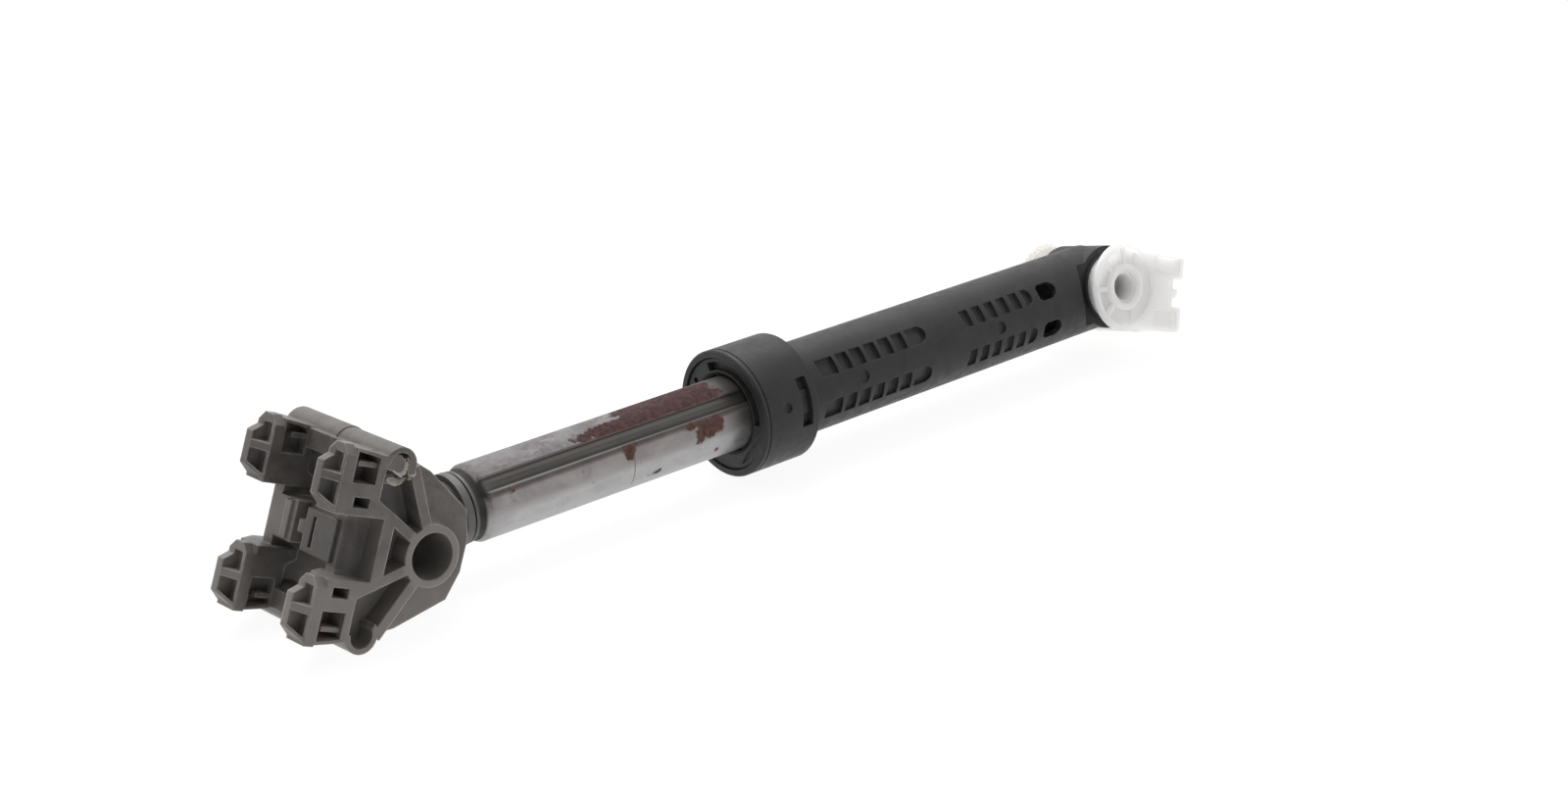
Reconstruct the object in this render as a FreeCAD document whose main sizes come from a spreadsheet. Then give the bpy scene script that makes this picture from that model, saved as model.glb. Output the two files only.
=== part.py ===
# Washing machine shock absorber, lying on its side
# X runs along the tube from the lower pivot to the upper pivot, Y along the lower pivot, Z up
# Origin on the lower pivot axis, in the middle plane of the lower bracket

import math
import os

import FreeCAD
import Part
import Sketcher

doc = FreeCAD.newDocument("ShockAbsorber")
sheet = doc.addObject("Spreadsheet::Sheet", "Sizes")

SIZES = [
    ("tube_radius", 11.0, "steel tube, outside radius"),
    ("tube_wall", 1.0, "steel tube, wall"),
    ("tube_start", 25.0, "lower pivot to the end of the steel tube"),
    ("tube_exposed", 94.0, "steel tube in the open, end to collar"),
    ("tube_insert", 36.0, "steel tube hidden in the housing"),
    ("neck_depth", 1.1, "rolled neck of the tube end, radial"),
    ("neck_length", 1.6, "rolled neck of the tube end, along the tube"),
    ("neck_taper", 2.2, "taper from the neck to the full tube"),
    ("seam_width", 4.4, "pressed seam groove, width"),
    ("seam_depth", 0.9, "pressed seam groove, depth"),
    ("seam_angle", 41.0, "seam groove above the near side, degrees"),
    ("seam_run_out", 5.0, "end of the seam groove to the guide ring"),
    ("running_gap", 0.06, "radial clearance of a running fit"),
    ("seat_gap", 0.03, "clearance between fixed pieces"),
    ("free_gap", 0.5, "clearance of pieces that never touch"),
    ("bore_radius", 11.75, "housing bore"),
    ("housing_radius_front", 14.1, "housing tube behind the collar"),
    ("housing_radius_rear", 13.7, "housing tube at the eye, after draft"),
    ("housing_reach", 134.0, "collar rear to the upper pivot"),
    ("housing_twist", -11.0, "housing turned about the tube, degrees"),
    ("collar_radius", 19.0, "collar, outside radius"),
    ("collar_length", 21.0, "collar, length"),
    ("collar_wall", 2.1, "collar, wall round the ring"),
    ("collar_floor", 2.6, "collar, rear wall"),
    ("lip_groove", 0.35, "groove behind the collar lip, depth"),
    ("clip_start", 14.2, "collar front to the clip windows"),
    ("clip_length", 3.8, "clip window along the tube"),
    ("clip_half_height", 7.2, "clip window, half height"),
    ("hook_half_height", 3.4, "clip hook of the ring, half height"),
    ("dimple_depth", 0.7, "round dimples of the housing, depth"),
    ("cap_thickness", 3.4, "retaining ring, front disc"),
    ("cap_recess", 0.6, "retaining ring behind the collar lip"),
    ("skirt_wall", 1.1, "retaining ring, skirt"),
    ("backing_gap", 0.3, "backing ring to the tube, radial"),
    ("backing_thickness", 1.8, "backing ring behind the lining"),
    ("lining_slit", 1.0, "butt slit of the friction lining"),
    ("guide_flange", 2.6, "guide ring, flange on the tube end"),
    ("guide_plug", 9.0, "guide ring, plug in the tube"),
    ("stop_thickness", 4.0, "rubber stop at the housing floor"),
    ("bore_floor", 20.5, "floor of the bore to the upper pivot"),
    ("row_angle", 26.4, "ladder rows from the middle plane, degrees"),
    ("row_half_width", 2.75, "ladder pockets, half width"),
    ("pocket_depth", 1.45, "ladder pockets, depth"),
    ("ladder_start", 6.7, "collar rear to the first ladder pocket"),
    ("ladder_first", 6.8, "first ladder pocket, length"),
    ("ladder_pitch", 5.66, "front ladder, pitch"),
    ("ladder_rib", 1.3, "rib between ladder pockets"),
    ("ladder_last", 7.3, "last ladder pocket, length"),
    ("slit_start", 66.2, "collar rear to the rear ladder"),
    ("slit_pitch", 5.4, "rear ladder, pitch"),
    ("slit_length", 3.6, "rear ladder pocket, length"),
    ("vent_start", 99.8, "collar rear to the vent holes"),
    ("vent_length", 8.0, "vent hole, length"),
    ("upper_eye_radius", 13.2, "upper eye barrel"),
    ("upper_eye_half", 9.5, "upper eye, half width"),
    ("spotface_radius", 16.2, "spot face round the upper eye"),
    ("upper_bush_radius", 8.6, "bore of the upper eye for its bushes"),
    ("upper_bore", 4.3, "through bore of the upper bracket"),
    ("upper_trunnion", 6.3, "trunnions of the upper bracket"),
    ("upper_half_width", 17.5, "upper bracket, half width"),
    ("upper_disc", 14.3, "upper bracket, side disc"),
    ("upper_rim", 1.3, "edge of the side disc, thickness"),
    ("upper_floor", 2.5, "side disc within its edge, thickness"),
    ("upper_boss", 10.4, "boss between the side disc and the eye"),
    ("upper_front", 26.2, "upper pivot to the bracket front"),
    ("upper_half_height", 12.6, "upper bracket, half height"),
    ("upper_tilt", 19.0, "upper bracket turned down, degrees"),
    ("bush_flange", 0.7, "bush flange, thickness"),
    ("lower_eye_radius", 12.2, "lower eye barrel"),
    ("lower_eye_half", 12.0, "lower eye, half width"),
    ("lower_bush_radius", 10.6, "bore of the lower eye for its bushes"),
    ("lower_bore", 6.4, "through bore of the lower bracket"),
    ("lower_trunnion", 8.4, "trunnions and bore rings of the lower bracket"),
    ("lower_tilt", 22.6, "lower bracket turned up, degrees"),
    ("lower_half_width", 23.4, "lower bracket, half width"),
    ("web_outer", 17.0, "lower bracket web, outer face"),
    ("plug_flange_radius", 10.3, "flange of the lower eye plug"),
    ("plug_flange_start", 20.8, "lower pivot to the plug flange"),
    ("plug_length", 20.0, "plug inside the tube"),
    ("bar_back", 16.3, "lower pivot to the seam bars, along the bracket"),
    ("bar_height", 22.4, "lower pivot to the seam bars, across the bracket"),
    ("bar_radius", 5.2, "seam bar, outside radius"),
    ("bar_step", 0.3, "near half of the bar inside the far half, radial"),
    ("bar_hollow", 3.4, "hollow of the seam bar"),
    ("shoulder_top", 25.6, "foot shoulders, half height at the front"),
    ("shoulder_front", 30.3, "lower pivot to the foot shoulders"),
    ("foot_in", 10.0, "seam to the inner side of the feet"),
    ("foot_pitch", 34.4, "pitch of the upper and lower feet"),
    ("head_base", 3.0, "snap head, base slab"),
    ("head_length", 2.8, "snap head, tapered part"),
    ("head_half_height", 8.85, "snap head base, half height"),
    ("head_corner", 2.4, "snap head base, cut of the upper corners"),
    ("head_web_in", 15.4, "seam to the web of the snap heads"),
    ("head_web", 2.7, "web of the snap heads, thickness"),
    ("head_rib", 2.2, "middle rib of the snap heads, thickness"),
    ("head_flange", 0.9, "lower flange of the snap heads, thickness"),
    ("head_rim", 1.2, "raised edge round the panels of the head"),
    ("head_panel", 1.8, "panels of the snap heads, depth"),
    ("taper_high", 5.2, "head web at its base, above the middle"),
    ("taper_low", 8.0, "head web at its base, below the middle"),
    ("tip_high", 3.4, "head web at its tip, above the middle"),
    ("tip_low", 5.4, "head web at its tip, below the middle"),
]


class Dim:
    """A number that remembers which cells it comes from."""

    def __init__(self, value, text):
        self.value = value
        self.text = text

    def __add__(self, other):
        o = dim(other)
        return Dim(self.value + o.value, "(" + self.text + " + " + o.text + ")")

    def __sub__(self, other):
        o = dim(other)
        return Dim(self.value - o.value, "(" + self.text + " - " + o.text + ")")

    def __mul__(self, other):
        o = dim(other)
        return Dim(self.value * o.value, "(" + self.text + " * " + o.text + ")")

    def __radd__(self, other):
        return dim(other) + self

    def __rsub__(self, other):
        return dim(other) - self

    def __rmul__(self, other):
        return self * other

    def __neg__(self):
        return Dim(-self.value, "(0 - " + self.text + ")")


def dim(number):
    """Any number as a Dim."""
    if isinstance(number, Dim):
        return number
    return Dim(float(number), "(" + repr(float(number)) + ")")


def sine(angle):
    """Sine of an angle in degrees."""
    return Dim(math.sin(math.radians(angle.value)), "sin(" + angle.text + " * 1 deg)")


def cosine(angle):
    """Cosine of an angle in degrees."""
    return Dim(math.cos(math.radians(angle.value)), "cos(" + angle.text + " * 1 deg)")


def root(number):
    """Square root."""
    return Dim(math.sqrt(number.value), "sqrt(" + number.text + ")")


size = {}
for row, (name, number, note) in enumerate(SIZES, start=1):
    sheet.set("A" + str(row), note)
    sheet.set("B" + str(row), str(number))
    sheet.setAlias("B" + str(row), name)
    size[name] = Dim(number, "Sizes." + name)
doc.recompute()


def new_body(label):
    """A sub-part of its own."""
    made = doc.addObject("PartDesign::Body", label)
    made.Label = label
    return made


def origin_feature(body, role):
    """One of the origin planes or axes of a body."""
    for feature in body.Origin.OriginFeatures:
        if feature.Role == role:
            return feature
    raise ValueError(role)


def bind(thing, prop, number):
    """Tie a property to the sheet."""
    thing.setExpression(prop, dim(number).text)


def sketch(body, role, name, offset=0.0, turn=None):
    """A sketch on an origin plane, moved along its normal, or turned about the tube axis first."""
    made = body.newObject("Sketcher::SketchObject", name)
    made.AttachmentSupport = [(origin_feature(body, role), "")]
    made.MapMode = "FlatFace"
    lift = dim(offset)
    if turn is None:
        made.AttachmentOffset = FreeCAD.Placement(
            FreeCAD.Vector(0, 0, lift.value), FreeCAD.Rotation())
        bind(made, "AttachmentOffset.Base.z", lift)
    else:
        side = -(lift * sine(turn))
        out = lift * cosine(turn)
        made.AttachmentOffset = FreeCAD.Placement(
            FreeCAD.Vector(0, side.value, out.value),
            FreeCAD.Rotation(FreeCAD.Vector(1, 0, 0), turn.value))
        bind(made, "AttachmentOffset.Base.y", side)
        bind(made, "AttachmentOffset.Base.z", out)
        bind(made, "AttachmentOffset.Rotation.Angle", turn)
    return made


def point_holds(geometry, corner, across, up):
    """What holds one point of a sketch at its two distances from the origin."""
    holds = []
    for axis, kind, number in ((-2, "DistanceX", dim(across)), (-1, "DistanceY", dim(up))):
        if abs(number.value) < 1e-9:
            holds.append((Sketcher.Constraint("PointOnObject", geometry, corner, axis), None))
        else:
            held = Sketcher.Constraint(kind, -1, 1, geometry, corner, number.value)
            holds.append((held, number.text))
    return holds


def hold(made, holds):
    """Add the holds of a sketch together and tie their numbers to the sheet."""
    first = made.ConstraintCount
    made.addConstraint([held for held, text in holds])
    for index, (held, text) in enumerate(holds):
        if text is not None and "Sizes." in text:
            made.setExpression("Constraints[" + str(first + index) + "]", text)


def polygon(made, points):
    """A closed outline of straight lines, every corner held."""
    corners = [FreeCAD.Vector(dim(x).value, dim(y).value, 0) for x, y in points]
    lines = []
    for index, corner in enumerate(corners):
        lines.append(Part.LineSegment(corner, corners[(index + 1) % len(corners)]))
    first = made.GeometryCount
    made.addGeometry(lines, False)
    holds = []
    for index, (x, y) in enumerate(points):
        following = (index + 1) % len(corners)
        join = Sketcher.Constraint("Coincident", first + index, 2, first + following, 1)
        holds.append((join, None))
        holds += point_holds(first + index, 1, x, y)
    hold(made, holds)


def circle(made, x, y, radius):
    """A full circle, centre and radius held."""
    index = made.GeometryCount
    made.addGeometry(Part.Circle(
        FreeCAD.Vector(dim(x).value, dim(y).value, 0),
        FreeCAD.Vector(0, 0, 1), dim(radius).value), False)
    width = Sketcher.Constraint("Radius", index, dim(radius).value)
    hold(made, point_holds(index, 3, x, y) + [(width, dim(radius).text)])


def pad(body, made, length, both=False, back=False):
    """Material from a sketch along its normal."""
    feature = body.newObject("PartDesign::Pad", made.Name + "Pad")
    feature.Profile = made
    feature.Length = dim(length).value
    bind(feature, "Length", length)
    feature.Midplane = both
    feature.Reversed = back
    body.Tip = feature
    return feature


def pocket(body, made, depth, back=False, both=False):
    """Material taken away against the sketch normal, or along it."""
    feature = body.newObject("PartDesign::Pocket", made.Name + "Pocket")
    feature.Profile = made
    feature.Length = dim(depth).value
    bind(feature, "Length", depth)
    feature.Reversed = back
    feature.Midplane = both
    body.Tip = feature
    return feature


def revolve(body, made, axis):
    """A turned form about an axis of its sketch."""
    feature = body.newObject("PartDesign::Revolution", made.Name + "Turn")
    feature.Profile = made
    feature.ReferenceAxis = (made, [axis])
    feature.Angle = 360.0
    body.Tip = feature
    return feature


def loft(body, first, last):
    """A tapered form between two sketches."""
    feature = body.newObject("PartDesign::AdditiveLoft", first.Name + "Taper")
    feature.Profile = first
    feature.Sections = [last]
    feature.Ruled = True
    body.Tip = feature
    return feature


def turned_part(label, points, axis_role="XZ_Plane", axis="H_Axis"):
    """A sub-part turned from one profile of places and radii along the tube axis."""
    body = new_body(label)
    profile = sketch(body, axis_role, label + "Profile")
    polygon(profile, points)
    revolve(body, profile, axis)
    return body


# Places along the tube
tube_start = size["tube_start"]
collar_front = tube_start + size["tube_exposed"]
collar_rear = collar_front + size["collar_length"]
upper_pivot = collar_rear + size["housing_reach"]
tube_end = collar_front + size["tube_insert"]
bore_end = upper_pivot - size["bore_floor"]
tube_inside = size["tube_radius"] - size["tube_wall"]
seat = size["seat_gap"]
run = size["running_gap"]
twist = size["housing_twist"]


# Steel tube
# rolled from sheet, its end necked into the plug, with a long pressed seam groove
steel = new_body("steel_tube")
neck_end = tube_start + size["neck_length"]
full_start = neck_end + size["neck_taper"]
neck_radius = size["tube_radius"] - size["neck_depth"]
profile = sketch(steel, "XZ_Plane", "TubeProfile")
polygon(profile, [
    (tube_start, neck_radius),
    (neck_end, neck_radius),
    (full_start, size["tube_radius"]),
    (tube_end, size["tube_radius"]),
    (tube_end, tube_inside),
    (full_start, tube_inside),
    (neck_end, neck_radius - size["tube_wall"]),
    (tube_start, neck_radius - size["tube_wall"]),
])
revolve(steel, profile, "H_Axis")
seam_start = neck_end + seat
bead_start = full_start - size["neck_taper"] * 0.35
seam_end = tube_end - size["guide_plug"] - size["seam_run_out"]
seam_half = size["seam_width"] * 0.5
seam_floor = size["tube_radius"] - size["seam_depth"]
# the groove lies on the top of the tube before the tube is turned to its place
bead = sketch(steel, "YZ_Plane", "SeamBead", bead_start)
bead_half = seam_half + size["tube_wall"]
bead_top = seam_floor + size["seam_depth"] * 0.4
polygon(bead, [
    (-bead_half, bead_top),
    (-bead_half, seam_floor - size["tube_wall"]),
    (bead_half, seam_floor - size["tube_wall"]),
    (bead_half, bead_top),
])
pad(steel, bead, seam_end - bead_start)
groove = sketch(steel, "YZ_Plane", "SeamGroove", seam_start)
polygon(groove, [
    (-seam_half, size["tube_radius"] + 1.0),
    (-(seam_half - 0.3), seam_floor),
    (seam_half - 0.3, seam_floor),
    (seam_half, size["tube_radius"] + 1.0),
])
pocket(steel, groove, seam_end - seam_start, back=True)
steel.Placement = FreeCAD.Placement(
    FreeCAD.Vector(0, 0, 0),
    FreeCAD.Rotation(FreeCAD.Vector(1, 0, 0), 90.0 - size["seam_angle"].value))
bind(steel, "Placement.Rotation.Angle", 90.0 - size["seam_angle"])


# Lower eye
# plastic plug rolled into the tube end, with flange, grooves and a barrel for the pivot
lower_eye = new_body("lower_eye")
flange_start = size["plug_flange_start"]
groove_radius = neck_radius - size["tube_wall"] - run
bead_clear = seam_floor - size["tube_wall"] - run - 0.2
profile = sketch(lower_eye, "XZ_Plane", "PlugProfile")
polygon(profile, [
    (6.0, 0.0),
    (6.0, 8.6),
    (flange_start, 8.6),
    (flange_start, size["plug_flange_radius"]),
    (tube_start - 1.8, size["plug_flange_radius"]),
    (tube_start - 1.8, size["plug_flange_radius"] - 1.1),
    (tube_start - 1.2, size["plug_flange_radius"] - 1.1),
    (tube_start - 1.2, size["plug_flange_radius"] - 0.15),
    (tube_start - 0.3, size["plug_flange_radius"] - 0.15),
    (tube_start - 0.3, groove_radius),
    (neck_end + 0.1, groove_radius),
    (neck_end + 0.4, bead_clear),
    (tube_start + size["plug_length"], bead_clear),
    (tube_start + size["plug_length"], 0.0),
])
revolve(lower_eye, profile, "H_Axis")
barrel = sketch(lower_eye, "XZ_Plane", "EyeBarrel")
circle(barrel, 0.0, 0.0, size["lower_eye_radius"])
pad(lower_eye, barrel, size["lower_eye_half"] * 2.0, both=True)
hole = sketch(lower_eye, "XZ_Plane", "EyeBore")
circle(hole, 0.0, 0.0, size["lower_bush_radius"])
pocket(lower_eye, hole, size["lower_eye_half"] * 2.0 + 4.0, both=True)


# Housing
# black moulded tube with the stepped collar, ladder pockets, vents and the upper eye
housing = new_body("housing")
collar_inside = size["collar_radius"] - size["collar_wall"]
collar_seat = collar_rear - size["collar_floor"]
lip = size["lip_groove"]
profile = sketch(housing, "XZ_Plane", "HousingProfile")
polygon(profile, [
    (collar_front, collar_inside),
    (collar_front, size["collar_radius"] - 0.5),
    (collar_front + 0.5, size["collar_radius"]),
    (collar_front + 1.4, size["collar_radius"]),
    (collar_front + 1.4, size["collar_radius"] - lip),
    (collar_front + 2.1, size["collar_radius"] - lip),
    (collar_front + 2.1, size["collar_radius"]),
    (collar_rear - 0.6, size["collar_radius"]),
    (collar_rear, size["collar_radius"] - 0.6),
    (collar_rear, size["housing_radius_front"]),
    (upper_pivot, size["housing_radius_rear"]),
    (upper_pivot, 0.0),
    (bore_end, 0.0),
    (bore_end, size["bore_radius"]),
    (collar_seat, size["bore_radius"]),
    (collar_seat, collar_inside),
])
revolve(housing, profile, "H_Axis")
barrel = sketch(housing, "XZ_Plane", "UpperBarrel")
circle(barrel, upper_pivot, 0.0, size["upper_eye_radius"])
pad(housing, barrel, size["upper_eye_half"] * 2.0, both=True)
cheek_depth = size["collar_radius"] - size["upper_eye_half"]
for name, place, back in (
        ("CheekNear", size["collar_radius"], False), ("CheekFar", -size["collar_radius"], True)):
    cheek = sketch(housing, "XZ_Plane", name, place)
    circle(cheek, upper_pivot, 0.0, size["spotface_radius"])
    pocket(housing, cheek, cheek_depth, back=back)
hole = sketch(housing, "XZ_Plane", "UpperEyeBore")
circle(hole, upper_pivot, 0.0, size["upper_bush_radius"])
pocket(housing, hole, size["upper_eye_half"] * 2.0 + 10.0, both=True)


def row_turns():
    """The four ladder rows round the tube, near pair and far pair."""
    angle = size["row_angle"]
    return [("NearUp", angle), ("NearDown", -angle),
            ("FarUp", 180.0 - angle), ("FarDown", angle - 180.0)]


half = size["row_half_width"]
row_floor = size["housing_radius_front"] - size["pocket_depth"]
vent_floor = size["bore_radius"] - 3.0
for name, turn in row_turns():
    turn = -turn
    row = sketch(housing, "XZ_Plane", "Ladder" + name, row_floor, turn)
    start = collar_rear + size["ladder_start"]
    stop = start + size["ladder_first"]
    polygon(row, [(start, -half), (stop, -half), (stop, half), (start, half)])
    for step in range(1, 6):
        stop = start + size["ladder_first"] + size["ladder_pitch"] * step
        begin = stop - size["ladder_pitch"] + size["ladder_rib"]
        polygon(row, [(begin, -half), (stop, -half), (stop, half), (begin, half)])
    begin = stop + size["ladder_rib"]
    stop = begin + size["ladder_last"]
    polygon(row, [
        (begin, -half), (stop - 2.0, -half), (stop - 0.6, -half * 0.7), (stop, -half * 0.3),
        (stop, half * 0.3), (stop - 0.6, half * 0.7), (stop - 2.0, half), (begin, half)])
    for step in range(5):
        begin = collar_rear + size["slit_start"] + size["slit_pitch"] * step
        stop = begin + size["slit_length"]
        polygon(row, [(begin, -half), (stop, -half), (stop, half), (begin, half)])
    begin = collar_rear + size["slit_start"] + size["slit_pitch"] * 5
    stop = begin + size["slit_length"]
    polygon(row, [
        (begin, -half), (stop - 1.4, -half), (stop - 0.3, -half * 0.6), (stop, 0.0),
        (stop - 0.3, half * 0.6), (stop - 1.4, half), (begin, half)])
    pocket(housing, row, 6.0, back=True)
    vent = sketch(housing, "XZ_Plane", "Vent" + name, vent_floor, turn)
    begin = collar_rear + size["vent_start"]
    stop = begin + size["vent_length"]
    polygon(vent, [
        (begin + 1.2, -half), (stop - 2.2, -half), (stop - 0.6, -half * 0.6), (stop, 0.0),
        (stop - 0.6, half * 0.6), (stop - 2.2, half), (begin + 1.2, half),
        (begin, half * 0.6), (begin, -half * 0.6)])
    pocket(housing, vent, 9.0, back=True)
clip_start = collar_front + size["clip_start"]
clip_stop = clip_start + size["clip_length"]
clip_half = size["clip_half_height"]
clip_floor = root(collar_inside * collar_inside - clip_half * clip_half) - 0.6
for name, place, back in (("ClipNear", clip_floor, True), ("ClipFar", -clip_floor, False)):
    window = sketch(housing, "XZ_Plane", name, place)
    polygon(window, [(clip_start, -clip_half), (clip_stop, -clip_half),
                     (clip_stop, clip_half), (clip_start, clip_half)])
    pocket(housing, window, 8.0, back=back)
for name, place, radius, spot in (
        ("DimpleCollar", collar_front + 8.9, size["collar_radius"], 1.6),
        ("DimpleFront", collar_rear + 22.5, size["housing_radius_front"], 2.0),
        ("DimpleRear", collar_rear + 80.7, size["housing_radius_rear"], 2.0)):
    for side, sign, back in (("Near", 1.0, True), ("Far", -1.0, False)):
        mark = sketch(housing, "XZ_Plane", name + side, (radius - size["dimple_depth"]) * sign)
        circle(mark, place, 0.0, spot)
        pocket(housing, mark, 3.0, back=back)


# Retaining ring
# cap in the collar mouth, its skirt clipped into the two collar windows
cap = new_body("retaining_ring")
cap_outside = collar_inside - seat
cap_front = collar_front + size["cap_recess"]
skirt_inside = cap_outside - size["skirt_wall"]
skirt_end = collar_seat - seat
cap_bore = size["tube_radius"] + size["free_gap"]
profile = sketch(cap, "XZ_Plane", "CapProfile")
polygon(profile, [
    (cap_front, cap_bore + 1.0),
    (cap_front, cap_outside - 0.4),
    (cap_front + 0.4, cap_outside),
    (skirt_end, cap_outside),
    (skirt_end, skirt_inside),
    (cap_front + size["cap_thickness"], skirt_inside),
    (cap_front + size["cap_thickness"], cap_bore),
    (cap_front + 1.0, cap_bore),
])
revolve(cap, profile, "H_Axis")
hook_half = size["hook_half_height"]
hook_top = collar_inside + 0.5
hook_foot = root(cap_outside * cap_outside - hook_half * hook_half) - 0.5
for name, place, back in (("HookNear", hook_foot, False), ("HookFar", -hook_foot, True)):
    hook = sketch(cap, "XZ_Plane", name, place)
    polygon(hook, [(clip_start + 0.2, -hook_half), (clip_stop - 0.2, -hook_half),
                   (clip_stop - 0.2, hook_half), (clip_start + 0.2, hook_half)])
    pad(cap, hook, hook_top - hook_foot, back=back)
room = sketch(cap, "YZ_Plane", "CapRoom", cap_front + size["cap_thickness"])
circle(room, 0.0, 0.0, skirt_inside)
pocket(cap, room, size["collar_length"], back=True)
# a crescent recess on the near side of the cap face, ended by a small step and a ramp
crescent_in = cap_bore + 1.5
crescent_out = cap_outside - 1.3
rim = []
for degrees in (104, 90, 75, 60, 45, 30, 15, 0, -14):
    turn = dim(degrees)
    rim.append((-(crescent_out * cosine(turn)), crescent_out * sine(turn)))
for degrees in (-14, 0, 15, 30, 45, 60, 75, 90, 104):
    turn = dim(degrees)
    rim.append((-(crescent_in * cosine(turn)), crescent_in * sine(turn)))
recess = sketch(cap, "YZ_Plane", "CapCrescent", cap_front - 1.0)
polygon(recess, rim)
pocket(cap, recess, 3.0, back=True)
ramp = sketch(cap, "YZ_Plane", "CapRamp", cap_front - 1.0)
polygon(ramp, [
    (-(crescent_out * cosine(dim(-24))), crescent_out * sine(dim(-24))),
    (-(crescent_out * cosine(dim(-52))), crescent_out * sine(dim(-52))),
    (-(crescent_out * cosine(dim(-78))), crescent_out * sine(dim(-78))),
    (-(crescent_in * cosine(dim(-58))), (crescent_in + 0.6) * sine(dim(-58))),
])
pocket(cap, ramp, 1.6, back=True)
pip = sketch(cap, "YZ_Plane", "CapPip", cap_front - 1.0)
pip_place = (crescent_in + crescent_out) * 0.5
circle(pip, -(pip_place * cosine(dim(137))), pip_place * sine(dim(137)), 0.9)
pocket(cap, pip, 2.4, back=True)


# Friction lining
# greased foam sleeve gripping the tube, one strip bent round with a butt slit
lining_front = cap_front + size["cap_thickness"] + seat
backing_rear = collar_seat - seat
backing_front = backing_rear - size["backing_thickness"]
lining_rear = backing_front - seat
lining_out = skirt_inside - seat
lining = turned_part("friction_lining", [
    (lining_front, size["tube_radius"] + seat),
    (lining_rear, size["tube_radius"] + seat),
    (lining_rear, lining_out),
    (lining_front, lining_out),
])
slit = sketch(lining, "XY_Plane", "LiningSlit")
polygon(slit, [
    (lining_front - 1.0, -(size["lining_slit"] * 0.5)),
    (lining_rear + 1.0, -(size["lining_slit"] * 0.5)),
    (lining_rear + 1.0, size["lining_slit"] * 0.5),
    (lining_front - 1.0, size["lining_slit"] * 0.5),
])
pocket(lining, slit, lining_out + 2.0, back=True)


# Backing ring
# flat ring that keeps the lining off the collar floor
backing_bore = size["tube_radius"] + size["backing_gap"]
backing = turned_part("lining_backing_ring", [
    (backing_front, backing_bore),
    (backing_rear, backing_bore),
    (backing_rear, lining_out),
    (backing_front, lining_out),
])


# Guide ring
# flanged plug in the inner end of the tube, running in the housing bore
guide = turned_part("tube_guide_ring", [
    (tube_end - size["guide_plug"], 6.5),
    (tube_end - size["guide_plug"], tube_inside - seat),
    (tube_end + seat, tube_inside - seat),
    (tube_end + seat, size["bore_radius"] - run),
    (tube_end + seat + size["guide_flange"], size["bore_radius"] - run),
    (tube_end + seat + size["guide_flange"], 6.5),
])


# End stop
# rubber disc at the floor of the housing bore
stop_pad = turned_part("end_stop", [
    (bore_end - seat - size["stop_thickness"], 0.0),
    (bore_end - seat - size["stop_thickness"], size["bore_radius"] - 2.0),
    (bore_end - seat - size["stop_thickness"] + 1.2, size["bore_radius"] - seat),
    (bore_end - seat, size["bore_radius"] - seat),
    (bore_end - seat, 0.0),
])

housing_group = (housing, cap, lining, backing, stop_pad)
for piece in housing_group:
    piece.Placement = FreeCAD.Placement(
        FreeCAD.Vector(0, 0, 0), FreeCAD.Rotation(FreeCAD.Vector(1, 0, 0), twist.value))
    bind(piece, "Placement.Rotation.Angle", twist)


def place_on_upper_pivot(piece, tilt):
    """Put a sub-part on the upper pivot, turned with the housing and tilted about the pivot."""
    turned = FreeCAD.Rotation(FreeCAD.Vector(1, 0, 0), twist.value)
    tilted = FreeCAD.Rotation(FreeCAD.Vector(0, 1, 0), tilt.value)
    piece.Placement = FreeCAD.Placement(
        FreeCAD.Vector(upper_pivot.value, 0, 0), turned.multiply(tilted))
    piece.setExpression("Placement", (
        "create(<<placement>>; create(<<vector>>; " + upper_pivot.text + "; 0; 0);"
        " create(<<rotation>>; create(<<vector>>; 1; 0; 0); " + twist.text + "))"
        " * create(<<placement>>; create(<<vector>>; 0; 0; 0);"
        " create(<<rotation>>; create(<<vector>>; 0; 1; 0); " + tilt.text + "))"))


def tilt_lower(piece):
    """Turn a sub-part of the lower bracket about the lower pivot."""
    piece.Placement = FreeCAD.Placement(
        FreeCAD.Vector(0, 0, 0),
        FreeCAD.Rotation(FreeCAD.Vector(0, 1, 0), size["lower_tilt"].value))
    bind(piece, "Placement.Rotation.Angle", size["lower_tilt"])


# Bushes
# flanged rubber bushes, two to an eye, round the trunnions of the brackets
bushes = []
for label, sign, trunnion, eye_bore, eye_half, flange in (
        ("lower_bush_near", -1.0, size["lower_trunnion"], size["lower_bush_radius"],
         size["lower_eye_half"], size["lower_eye_radius"] - 0.3),
        ("lower_bush_far", 1.0, size["lower_trunnion"], size["lower_bush_radius"],
         size["lower_eye_half"], size["lower_eye_radius"] - 0.3),
        ("upper_bush_near", -1.0, size["upper_trunnion"], size["upper_bush_radius"],
         size["upper_eye_half"], size["upper_bush_radius"] + 2.4),
        ("upper_bush_far", 1.0, size["upper_trunnion"], size["upper_bush_radius"],
         size["upper_eye_half"], size["upper_bush_radius"] + 2.4)):
    inner = trunnion + run
    outer = eye_bore - seat
    rim_inner = eye_half + seat
    rim_outer = rim_inner + size["bush_flange"]
    bush = turned_part(label, [
        (inner, 0.3 * sign),
        (outer, 0.3 * sign),
        (outer, rim_inner * sign),
        (flange, rim_inner * sign),
        (flange, rim_outer * sign),
        (inner, rim_outer * sign),
    ], "XY_Plane", "V_Axis")
    bushes.append(bush)
for bush in bushes[2:]:
    place_on_upper_pivot(bush, dim(0.0))


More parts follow.
